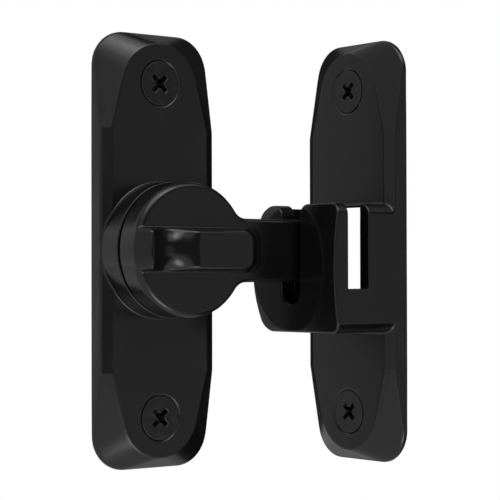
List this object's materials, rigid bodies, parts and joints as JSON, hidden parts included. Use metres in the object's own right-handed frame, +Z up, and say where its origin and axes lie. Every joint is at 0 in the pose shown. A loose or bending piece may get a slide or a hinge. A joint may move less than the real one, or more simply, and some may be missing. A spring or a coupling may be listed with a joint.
{
  "type": "flip latch",
  "caption": "Black flip latch for an inside corner: a knob with a hook arm on a bevelled plate swings down into the notched cup of a matching catch plate.",
  "frame": {"origin": "middle of the latch plate's back face, midway between its screws, on the knob's axis", "axes": "+Y into the wall behind the latch plate, +Z up along the plates, +X towards the catch plate"},
  "size_m": [0.0753, 0.0426, 0.096],
  "materials": {
    "black_casting": "satin black",
    "black_knob": "satin black",
    "black_screw": "black oxide",
    "zinc_steel": "zinc plated",
    "spring_steel": "plain",
    "nylon": "natural"
  },
  "bodies": {
    "base": {"latch_plate": "black_casting", "friction_washer": "nylon", "spring_washer": "spring_steel", "latch_screw_upper": "black_screw", "latch_screw_lower": "black_screw", "catch_plate": "black_casting", "catch_screw_upper": "black_screw", "catch_screw_lower": "black_screw"},
    "knob": {"turn_knob": "black_knob", "pivot_washer": "zinc_steel", "pivot_screw": "zinc_steel"}
  },
  "joints": [
    {"name": "knob_turn", "type": "hinge", "parent": "base", "child": "knob", "pos_m": [0, 0, 0], "axis": [0, -1, 0], "range_deg": [-7, 180]}
  ]
}
